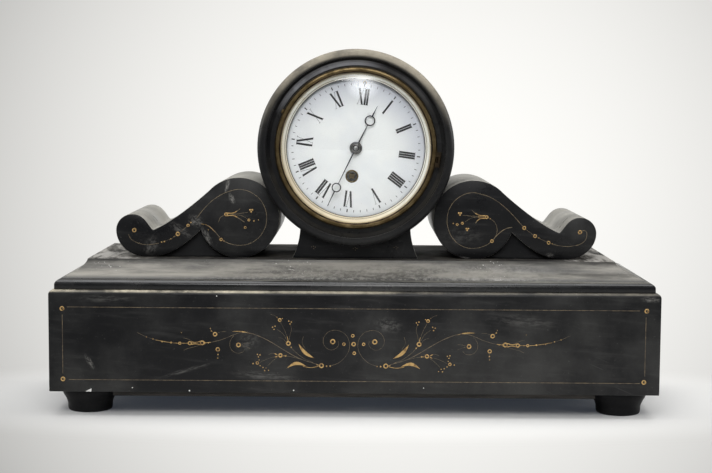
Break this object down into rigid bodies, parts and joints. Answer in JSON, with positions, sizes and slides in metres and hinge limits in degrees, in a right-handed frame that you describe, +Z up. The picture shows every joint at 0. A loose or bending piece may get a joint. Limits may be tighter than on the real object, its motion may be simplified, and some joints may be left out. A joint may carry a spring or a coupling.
{
  "type": "mantel clock",
  "caption": "Black slate drum-head mantel clock with scroll supports, moulded plinth, hinged glazed bezel, enamel dial, blued hands and a pendulum movement with meshing wheels.",
  "frame": {"origin": "on the floor, under the middle of the plinth", "axes": "+X to the right seen from the front, +Y towards the back, +Z up"},
  "size_m": [0.545, 0.1756, 0.3293],
  "materials": {
    "slate": "polished black slate gone satin, with faint cloudiness and dust",
    "board": "dark stained board",
    "tarnished_brass": "tarnished brown brass",
    "sight_gilt": "bright pale gilt",
    "brass": "lacquered movement brass",
    "glass": "clear domed glass",
    "enamel": "white enamel, glossy",
    "blued_steel": "dark blued steel",
    "steel": "polished steel, a little dull"
  },
  "bodies": {
    "case": {"base_board": "board", "plinth_front_slab": "slate", "plinth_back_slab": "slate", "plinth_left_slab": "slate", "plinth_right_slab": "slate", "top_moulding_slab": "slate", "foot_front_left": "slate", "foot_front_right": "slate", "foot_back_left": "slate", "foot_back_right": "slate", "left_scroll": "slate", "right_scroll": "slate", "left_scroll_web": "slate", "right_scroll_web": "slate", "drum_cradle": "slate", "drum_shell": "slate", "drum_front_ring": "slate", "bezel_frame": "tarnished_brass", "bezel_hinge_pin": "tarnished_brass", "enamel_dial": "enamel", "dial_plate": "brass", "front_plate": "brass", "back_plate": "brass", "plate_pillar_1": "brass", "plate_pillar_2": "brass", "plate_pillar_3": "brass", "plate_pillar_4": "brass", "click_spring": "blued_steel", "suspension_cock": "brass", "movement_strap_left": "brass", "movement_strap_right": "brass", "case_screw_left": "steel", "case_screw_right": "steel", "rear_frame": "brass"},
    "bezel_door": {"bezel": "tarnished_brass", "bezel_glass": "glass", "sight_ring": "sight_gilt"},
    "rear_door_leaf": {"rear_door": "brass"},
    "minute_hand_work": {"minute_hand": "blued_steel", "hand_collet": "steel", "cannon_pinion": "steel"},
    "minute_wheel_work": {"minute_wheel": "brass"},
    "hour_hand_work": {"hour_wheel": "brass", "hour_hand": "blued_steel"},
    "barrel": {"mainspring_barrel": "brass", "barrel_cap": "brass", "mainspring": "blued_steel"},
    "winding_work": {"winding_arbor": "steel", "ratchet_wheel": "steel"},
    "click_lever": {"click": "steel"},
    "second_mobile": {"second_wheel": "brass"},
    "centre_mobile": {"centre_wheel": "brass"},
    "third_mobile": {"third_wheel": "brass"},
    "escape_mobile": {"escape_wheel": "brass"},
    "anchor_work": {"anchor": "steel", "crutch": "steel"},
    "pendulum": {"suspension_spring": "steel", "pendulum_rod": "steel", "pendulum_bob": "brass"},
    "regulator": {"regulator_arbor": "steel"}
  },
  "joints": [
    {"name": "bezel_hinge", "type": "hinge", "parent": "case", "child": "bezel_door", "pos_m": [0.07494, -0.06055, 0.23], "axis": [0.1323, 0, 0.9912], "range_deg": [0, 110]},
    {"name": "rear_door_hinge", "type": "hinge", "parent": "case", "child": "rear_door_leaf", "pos_m": [0.06185, 0.0805, 0.23175], "axis": [-0.1323, 0, -0.9912], "range_deg": [0, 120]},
    {"name": "minute_hand_turn", "type": "hinge", "parent": "case", "child": "minute_hand_work", "pos_m": [0, -0.03, 0.24], "axis": [0, 1, 0], "continuous": true},
    {"name": "minute_wheel_turn", "type": "hinge", "parent": "case", "child": "minute_wheel_work", "pos_m": [0.01172, -0.03, 0.24258], "axis": [0, 1, 0], "continuous": true},
    {"name": "hour_wheel_turn", "type": "hinge", "parent": "case", "child": "hour_hand_work", "pos_m": [0, -0.03, 0.24], "axis": [0, 1, 0], "continuous": true},
    {"name": "third_wheel_turn", "type": "hinge", "parent": "case", "child": "third_mobile", "pos_m": [-0.00934, -0.03, 0.25346], "axis": [0, 1, 0], "continuous": true},
    {"name": "escape_wheel_turn", "type": "hinge", "parent": "case", "child": "escape_mobile", "pos_m": [0.00291, -0.03, 0.26181], "axis": [0, 1, 0], "continuous": true},
    {"name": "centre_wheel_turn", "type": "hinge", "parent": "case", "child": "centre_mobile", "pos_m": [0, -0.03, 0.24], "axis": [0, 1, 0], "continuous": true},
    {"name": "second_wheel_turn", "type": "hinge", "parent": "case", "child": "second_mobile", "pos_m": [0.01268, -0.03, 0.22898], "axis": [0, 1, 0], "continuous": true},
    {"name": "barrel_turn", "type": "hinge", "parent": "case", "child": "barrel", "pos_m": [-0.00341, -0.03, 0.21443], "axis": [0, 1, 0], "continuous": true},
    {"name": "winding_arbor_turn", "type": "hinge", "parent": "case", "child": "winding_work", "pos_m": [-0.00341, -0.03, 0.21443], "axis": [0, 1, 0], "continuous": true},
    {"name": "click_pivot", "type": "hinge", "parent": "case", "child": "click_lever", "pos_m": [-0.016, -0.03965, 0.22101], "axis": [0, -1, 0], "range_deg": [0, 10]},
    {"name": "pendulum_swing", "type": "hinge", "parent": "case", "child": "pendulum", "pos_m": [0.00489, 0.01165, 0.27668], "axis": [0, 1, 0], "range_deg": [-3.5, 3.5]},
    {"name": "anchor_rock", "type": "hinge", "parent": "case", "child": "anchor_work", "pos_m": [0.00489, 0, 0.27668], "axis": [0, 1, 0], "range_deg": [-3.5, 3.5]},
    {"name": "regulator_turn", "type": "hinge", "parent": "case", "child": "regulator", "pos_m": [0.00787, -0.03, 0.29898], "axis": [0, 1, 0], "continuous": true}
  ],
  "couplings": [
    {"joint": "minute_wheel_turn", "follows": "minute_hand_turn", "ratio": -0.33333},
    {"joint": "hour_wheel_turn", "follows": "minute_hand_turn", "ratio": 0.083333},
    {"joint": "escape_wheel_turn", "follows": "third_wheel_turn", "ratio": -12},
    {"joint": "centre_wheel_turn", "follows": "third_wheel_turn", "ratio": -0.083333},
    {"joint": "second_wheel_turn", "follows": "third_wheel_turn", "ratio": 0.013889},
    {"joint": "barrel_turn", "follows": "third_wheel_turn", "ratio": -0.0023148},
    {"joint": "anchor_rock", "follows": "pendulum_swing", "ratio": 1}
  ]
}
